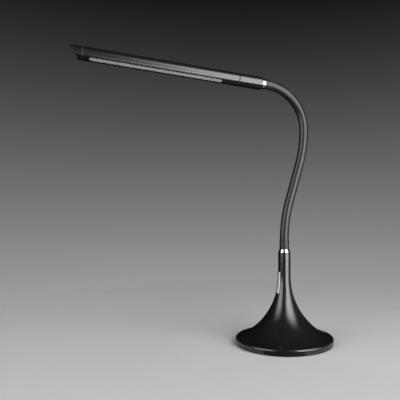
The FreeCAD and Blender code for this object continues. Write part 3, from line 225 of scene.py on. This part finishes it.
# finishes of the pieces inside, each a change from plain steel
steelLook = {
    "colour": (0.50, 0.50, 0.51), "colourDrift": (0.42, 0.42, 0.43), "driftPerMetre": 80.0,
    "roughness": (0.26, 0.40), "glossPerMetre": 400.0,
    "grainPerMetre": 2000.0, "relief": 0.2, "reliefDepth": 0.00004, "sockets": {"Metallic": 1.0},
}
innerLooks = {
    "plate_steel": {**steelLook, "colour": (0.30, 0.30, 0.305)},
    "screw_steel": steelLook,
    "hose_steel": {**steelLook, "colour": (0.44, 0.44, 0.45)},
    "carrier_aluminium": {**steelLook, "colour": (0.62, 0.62, 0.63), "colourDrift": (0.55, 0.55, 0.56)},
    "contact_brass": {**steelLook, "colour": (0.60, 0.44, 0.18), "colourDrift": (0.5, 0.36, 0.15)},
    "ballast_iron": {
        **steelLook, "colour": (0.075, 0.072, 0.070), "colourDrift": (0.10, 0.09, 0.085),
        "roughness": (0.55, 0.75), "relief": 0.5, "reliefDepth": 0.0002, "sockets": {"Metallic": 0.6},
    },
    "circuit_board": {
        **steelLook, "colour": (0.012, 0.09, 0.035), "colourDrift": (0.016, 0.11, 0.045),
        "roughness": (0.30, 0.42), "sockets": {"Metallic": 0.0},
    },
    "dark_parts": {
        **steelLook, "colour": (0.018, 0.018, 0.020), "colourDrift": (0.026, 0.026, 0.028),
        "roughness": (0.36, 0.50), "sockets": {"Metallic": 0.0},
    },
    "contact_rubber": {
        **steelLook, "colour": (0.05, 0.05, 0.052), "colourDrift": (0.07, 0.07, 0.072),
        "roughness": (0.6, 0.75), "sockets": {"Metallic": 0.0},
    },
    "lead_cover": {
        **steelLook, "colour": (0.35, 0.02, 0.018), "colourDrift": (0.42, 0.03, 0.025),
        "roughness": (0.36, 0.46), "sockets": {"Metallic": 0.0},
    },
    "slip_nylon": {
        **steelLook, "colour": (0.62, 0.61, 0.57), "colourDrift": (0.68, 0.67, 0.62),
        "roughness": (0.40, 0.55), "sockets": {"Metallic": 0.0},
    },
    "diode_yellow": {
        **steelLook, "colour": (0.80, 0.55, 0.10), "colourDrift": (0.85, 0.62, 0.14),
        "roughness": (0.30, 0.40), "sockets": {"Metallic": 0.0},
    },
}
for slotName, look in innerLooks.items():
    firstWord, lastWord = slotName.split("_")
    finishes[slotName] = makeFinish(firstWord + lastWord.title(), look)
print("finishes made:", len(finishes))


def dressNode(name, slotName):
    data = nodes[name].data
    data.materials.clear()
    data.materials.append(finishes[slotName])


for part in frame["record"]["subparts"]:
    dressNode(part["node"], part["material_slot"])
dressNode("tip_cap", "cap_black_painted_highlight")

# the hose: its line is straight runs and arcs in mm and degrees, and it is cut at its joints
neck = {
    "lowerRun": 16.5, "backRadius": 230.0, "lean": 16.0, "upperRun": 64.3,
    "returnRadius": 210.0, "topRadius": 73.5, "headRise": 5.3, "endRun": 2.4,
    "collarLength": 14.8, "links": 6, "bendInset": 3.0,
}
sleeveTube = {"radius": 7.5, "wall": 1.2, "insert": 5.0, "ringGap": 1.6, "endGap": 0.15, "sides": 64}
leadTube = {"radius": 0.65, "aside": 0.75, "ringGap": 4.0, "endGap": 0.5, "sides": 16}
sharpAngle = 50.0  # degrees; a sharper edge shades as an edge
lastTurn = 90 - neck["headRise"]
neckRuns = [  # the length of each run and how far it turns
    (neck["lowerRun"], 0.0),
    (neck["backRadius"] * math.radians(neck["lean"]), neck["lean"]),
    (neck["upperRun"], 0.0),
    (neck["returnRadius"] * math.radians(neck["lean"]), -neck["lean"]),
    (neck["topRadius"] * math.radians(lastTurn), -lastTurn),
    (neck["endRun"], 0.0),
]
neckLength = sum(run for run, turn in neckRuns)
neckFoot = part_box("lower_collar")[0][2]


def alongNeck(distance):
    # centre point in metres and heading in degrees; heading 0 is up and 90 is towards +X
    x, z, heading = 0.0, 0.0, 0.0
    for run, turn in neckRuns:
        step = min(distance, run)
        bend = turn * step / run
        if turn:
            radius = run / math.radians(turn)
            after = math.radians(heading + bend)
            x += radius * (math.cos(math.radians(heading)) - math.cos(after))
            z += radius * (math.sin(after) - math.sin(math.radians(heading)))
        else:
            x += step * math.sin(math.radians(heading))
            z += step * math.cos(math.radians(heading))
        heading += bend
        distance -= step
        if distance <= 0:
            break
    return Vector((x * mm, 0.0, neckFoot + z * mm)), heading


def neckPlace(distance):
    centre, heading = alongNeck(distance)
    return Matrix.Translation(centre) @ Matrix.Rotation(math.radians(heading), 4, "Y")


def ringPlaces(low, high, tube):
    # evenly spaced, with one more ring close to each end so that joined lengths shade as one
    count = max(2, round((high - low) / tube["ringGap"]))
    inner = [low + (high - low) * number / count for number in range(1, count)]
    return [low, low + tube["endGap"]] + inner + [high - tube["endGap"], high]


def sweepTube(distances, radii, sides, aside=0.0):
    # rings along the neck; a second radius makes a wall, with its rings run back inside the first
    hollow = len(radii) > 1
    rings = [(distance, radii[0]) for distance in distances]
    if hollow:
        rings += [(distance, radii[1]) for distance in reversed(distances)]
    points, faces = [], []
    for distance, radius in rings:
        place = neckPlace(distance)
        for side in range(sides):
            angle = math.tau * side / sides
            local = Vector((radius * math.cos(angle), aside + radius * math.sin(angle), 0)) * mm
            points.append(place @ local)
    for row in range(len(rings) if hollow else len(rings) - 1):
        here, there = row * sides, ((row + 1) % len(rings)) * sides
        for side in range(sides):
            after = (side + 1) % sides
            faces.append((here + side, here + after, there + after, there + side))
    if not hollow:
        faces.append(tuple(range(sides)))
        faces.append(tuple(range((len(rings) - 1) * sides, len(rings) * sides)))
    return points, faces


def addPiece(name, slotName, points, faces):
    mesh = bpy.data.meshes.new(name)
    mesh.from_pydata(points, [], faces)
    mesh.validate()
    outward = bmesh.new()
    outward.from_mesh(mesh)
    bmesh.ops.recalc_face_normals(outward, faces=outward.faces)
    outward.to_mesh(mesh)
    outward.free()
    for face in mesh.polygons:
        face.use_smooth = True
    mesh.set_sharp_from_angle(angle=math.radians(sharpAngle))
    mesh.materials.append(finishes[slotName])
    piece = bpy.data.objects.new(name, mesh)
    bpy.context.collection.objects.link(piece)
    return piece


def makeSleeve(number, low, high):
    outer = sleeveTube["radius"]
    radii = (outer, outer - sleeveTube["wall"])
    tube = sweepTube(ringPlaces(low, high, sleeveTube), radii, sleeveTube["sides"])
    return addPiece("hoseSleeve%d" % number, "hose_sleeve", *tube)


def makeLeads(number, low, high):
    # two leads side by side, in one piece
    points, faces = [], []
    places = ringPlaces(low, high, leadTube)
    for aside in (leadTube["aside"], -leadTube["aside"]):
        tube = sweepTube(places, (leadTube["radius"],), leadTube["sides"], aside)
        shift = len(points)
        points += tube[0]
        faces += [tuple(corner + shift for corner in face) for face in tube[1]]
    return addPiece("hoseLeads%d" % number, "lead_cover", points, faces)


links = neck["links"]
linkStep = (neckLength - 2 * neck["collarLength"]) / links
breaks = [neck["collarLength"] + linkStep * number for number in range(links + 1)]
bodyChain = ["base"] + ["neck_link_%d" % number for number in range(1, links)] + ["head_stem"]
for number in range(1, links + 1):
    low, high = breaks[number - 1], breaks[number]
    bendLow = alongNeck(low + neck["bendInset"])[0]
    bendHigh = alongNeck(high - neck["bendInset"])[0]
    across = [(bodyChain[number - 1], bendLow), (bodyChain[number], bendHigh)]
    if number == 1:
        low -= sleeveTube["insert"]
    if number == links:
        high += sleeveTube["insert"]
        across.reverse()  # listed from the head's side for the last length
    sleeve = makeSleeve(number, low, high)
    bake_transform(sleeve)
    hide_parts("neck_sleeve_%d" % number)
    leads = makeLeads(number, low, high)
    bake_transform(leads)
    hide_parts("neck_leads_%d" % number)
print("hose lengths made:", links)

# the floor is whole round the lamp and fades out into the backdrop
paleFloor = {
    "radius": 3.0, "sides": 96, "below": 0.0002, "wholeTo": 0.25, "goneAt": 0.9,
    "colour": (0.50, 0.50, 0.50), "fleck": 0.985, "fleckPerMetre": 60.0, "roughness": 0.85,
}


def makeFloor():
    mesh = bpy.data.meshes.new("floor")
    disc = bmesh.new()
    bmesh.ops.create_circle(disc, cap_ends=True, segments=paleFloor["sides"], radius=paleFloor["radius"])
    disc.to_mesh(mesh)
    disc.free()
    floor = bpy.data.objects.new("floor", mesh)
    floor.location.z = -paleFloor["below"]
    bpy.context.collection.objects.link(floor)
    finish = bpy.data.materials.new("paleFloor")
    finish.use_nodes = True
    tree = finish.node_tree
    shader = tree.nodes["Principled BSDF"]
    shader.inputs["Roughness"].default_value = paleFloor["roughness"]
    place = newNode(tree, "ShaderNodeTexCoord").outputs["Object"]
    flecks = noiseField(tree, place, paleFloor["fleckPerMetre"], noiseDetail["colour"])
    plain = paleFloor["colour"]
    fleck = tuple(paleFloor["fleck"] * part for part in plain)
    colour = mixColours(tree, spread(tree, flecks, 0.0, 1.0), plain, fleck)
    tree.links.new(colour, shader.inputs["Base Color"])
    reach = newNode(tree, "ShaderNodeVectorMath", operation="LENGTH")
    tree.links.new(place, reach.inputs[0])
    ends = paleFloor["wholeTo"], paleFloor["goneAt"]
    shown = spread(tree, reach.outputs["Value"], 1.0, 0.0, *ends, "SMOOTHSTEP")
    tree.links.new(shown, shader.inputs["Alpha"])
    mesh.materials.append(finish)


# the backdrop darkens upwards, and shows to the camera, in gloss and through glass
backdrop = {"lowShade": 0.757, "highShade": 0.09, "lowZ": -0.37, "highZ": 0.42, "power": 2.0}
roomLight = 0.05  # the even light that all else gets


def makeWorld():
    world = bpy.data.worlds.new("studio")
    bpy.context.scene.world = world
    world.use_nodes = True
    tree = world.node_tree
    seen = tree.nodes["Background"]
    direction = newNode(tree, "ShaderNodeTexCoord").outputs["Generated"]
    split = newNode(tree, "ShaderNodeSeparateXYZ")
    tree.links.new(direction, split.inputs[0])
    shades = backdrop["lowShade"], backdrop["highShade"]
    slopes = backdrop["lowZ"], backdrop["highZ"]
    curved = newNode(tree, "ShaderNodeMath", operation="POWER")
    curved.inputs[1].default_value = backdrop["power"]
    tree.links.new(spread(tree, split.outputs["Z"], *shades, *slopes), curved.inputs[0])
    tree.links.new(curved.outputs[0], seen.inputs["Color"])
    room = newNode(tree, "ShaderNodeBackground")
    room.inputs["Color"].default_value = (1, 1, 1, 1)
    room.inputs["Strength"].default_value = roomLight
    path = newNode(tree, "ShaderNodeLightPath")
    shown = path.outputs["Is Camera Ray"]
    for ray in ("Is Glossy Ray", "Is Transmission Ray"):
        either = newNode(tree, "ShaderNodeMath", operation="MAXIMUM")
        tree.links.new(shown, either.inputs[0])
        tree.links.new(path.outputs[ray], either.inputs[1])
        shown = either.outputs[0]
    mix = newNode(tree, "ShaderNodeMixShader")
    tree.links.new(shown, mix.inputs["Fac"])
    tree.links.new(room.outputs[0], mix.inputs[1])
    tree.links.new(seen.outputs[0], mix.inputs[2])
    tree.links.new(mix.outputs[0], tree.nodes["World Output"].inputs["Surface"])


# upright light panels; azimuth 0 is on the camera's side (-Y) and grows towards +X
softboxes = {
    "keyBox": {
        "azimuth": 36.0, "away": 1.5, "width": 2.5, "low": -0.25, "high": 2.9, "glow": 6.6,
        "softSides": 0.48, "softTop": 0.54,
    },
    "frontBox": {
        "azimuth": 12.0, "away": 1.5, "width": 1.2, "low": -0.2, "high": 2.7, "glow": 3.3,
        "softSides": 0.5, "softTop": 0.5,
    },
    "fillBox": {
        "azimuth": -68.0, "away": 1.5, "width": 2.3, "low": 0.05, "high": 2.3, "glow": 4.6,
        "softSides": 0.5, "softTop": 0.6,
    },
}
lampCentre = Vector((-0.08, 0.0, 0.0))  # what the panels stand round
panelMiddle = 0.5  # in a panel's own coordinates, which run from 0 to 1


def softbox(name, box):
    width, height = box["width"], box["high"] - box["low"]
    lamp = bpy.data.lights.new(name, "AREA")
    lamp.shape = "RECTANGLE"
    lamp.size, lamp.size_y = width, height
    lamp.energy = math.pi * width * height  # by its area, so that glow means the same at any size
    lamp.use_nodes = True
    tree = lamp.node_tree
    across = newNode(tree, "ShaderNodeSeparateXYZ")
    tree.links.new(newNode(tree, "ShaderNodeNewGeometry").outputs["Parametric"], across.inputs[0])
    centred = newNode(tree, "ShaderNodeMath", operation="SUBTRACT")
    centred.inputs[1].default_value = panelMiddle
    tree.links.new(across.outputs["X"], centred.inputs[0])
    offCentre = newNode(tree, "ShaderNodeMath", operation="ABSOLUTE")
    tree.links.new(centred.outputs[0], offCentre.inputs[0])
    sideEnds = panelMiddle - box["softSides"], panelMiddle
    sides = spread(tree, offCentre.outputs[0], 1.0, 0.0, *sideEnds, "SMOOTHSTEP")
    top = spread(tree, across.outputs["Y"], box["glow"], 0.0, 1.0 - box["softTop"], 1.0, "SMOOTHSTEP")
    power = newNode(tree, "ShaderNodeMath", operation="MULTIPLY")
    tree.links.new(sides, power.inputs[0])
    tree.links.new(top, power.inputs[1])
    tree.links.new(power.outputs[0], tree.nodes["Emission"].inputs["Strength"])
    around = math.radians(box["azimuth"])
    out = Vector((math.sin(around), -math.cos(around), 0.0))
    holder = bpy.data.objects.new(name, lamp)
    holder.location = lampCentre + out * box["away"]
    holder.location.z = (box["low"] + box["high"]) / 2
    holder.rotation_euler = out.to_track_quat("Z", "Y").to_euler()
    holder.visible_camera = False
    bpy.context.collection.objects.link(holder)


# cards flat on the floor or upright round the lamp, seen only in its reflections: the black ones put
# painted dark reflections in place of what lies behind them, and the light card puts a painted reflected
# glow that lights nothing
blackCards = {
    "floorCard": [
        (-0.17, 0.12, 0), (-0.17, -0.10, 0), (-0.062, -0.062, 0), (0.006, -0.087, 0),
        (0.10, -0.20, 0), (1.0, -1.6, 0), (-1.5, -1.2, 0), (-0.55, 0.12, 0),
    ],
    "rearFloorCard": [(-3, 0.12, 0), (3, 0.12, 0), (3, 3, 0), (-3, 3, 0)],
    "rearCard": [(-4, 3, 0), (4, 3, 0), (4, 3, 3.5), (-4, 3, 3.5)],
    "lowCard": [(0.035, -0.297, 0), (0.035, -0.297, 0.2), (-0.176, -0.243, 0.2), (-0.176, -0.243, 0)],
}
blackCardColour = (0.002, 0.002, 0.002, 1)
lightCard = {  # its glow grows along X from darkAt to fullAt
    "corners": [(-0.4, -0.6, 0.002), (0.75, -0.6, 0.002), (0.75, -1.5, 0.002), (-0.4, -1.5, 0.002)],
    "glow": 5.5, "darkAt": -0.38, "fullAt": 0.05,
}


def addCard(name, corners, finish):
    mesh = bpy.data.meshes.new(name)
    mesh.from_pydata(corners, [], [tuple(range(len(corners)))])
    mesh.materials.append(finish)
    card = bpy.data.objects.new(name, mesh)
    card.visible_camera = card.visible_diffuse = card.visible_shadow = False
    bpy.context.collection.objects.link(card)


def makeBlackCards():
    black = bpy.data.materials.new("cardBlack")
    black.use_nodes = True
    shader = black.node_tree.nodes["Principled BSDF"]
    shader.inputs["Base Color"].default_value = blackCardColour
    shader.inputs["Specular IOR Level"].default_value = 0.0
    for name, corners in blackCards.items():
        addCard(name, corners, black)


def makeLightCard():
    white = bpy.data.materials.new("cardLight")
    white.use_nodes = True
    tree = white.node_tree
    shader = tree.nodes["Principled BSDF"]
    shader.inputs["Emission Color"].default_value = (1, 1, 1, 1)
    across = newNode(tree, "ShaderNodeSeparateXYZ")
    tree.links.new(newNode(tree, "ShaderNodeTexCoord").outputs["Object"], across.inputs[0])
    ends = lightCard["darkAt"], lightCard["fullAt"]
    glow = spread(tree, across.outputs["X"], 0.0, lightCard["glow"], *ends, "SMOOTHSTEP")
    tree.links.new(glow, shader.inputs["Emission Strength"])
    addCard("lightCard", lightCard["corners"], white)


view = {
    "lens": 42.3, "sensor": 36.0, "shiftX": -0.10, "shiftY": 0.0325,
    "place": (-0.2695, -0.741, 0.216), "turn": (90.0, 0.0, -14.6),
}


def makeCamera():
    camera = bpy.data.objects.new("camera", bpy.data.cameras.new("camera"))
    camera.data.lens = view["lens"]
    camera.data.sensor_width = view["sensor"]
    camera.data.shift_x = view["shiftX"]
    camera.data.shift_y = view["shiftY"]
    camera.location = view["place"]
    camera.rotation_euler = [math.radians(angle) for angle in view["turn"]]
    bpy.context.collection.objects.link(camera)
    bpy.context.scene.camera = camera


makeFloor()
makeWorld()
makeBlackCards()
makeLightCard()
for name, box in softboxes.items():
    softbox(name, box)
makeCamera()
bpy.context.scene.view_settings.view_transform = "Standard"
print("studio set:", len(softboxes), "panels and", len(blackCards) + 1, "cards")
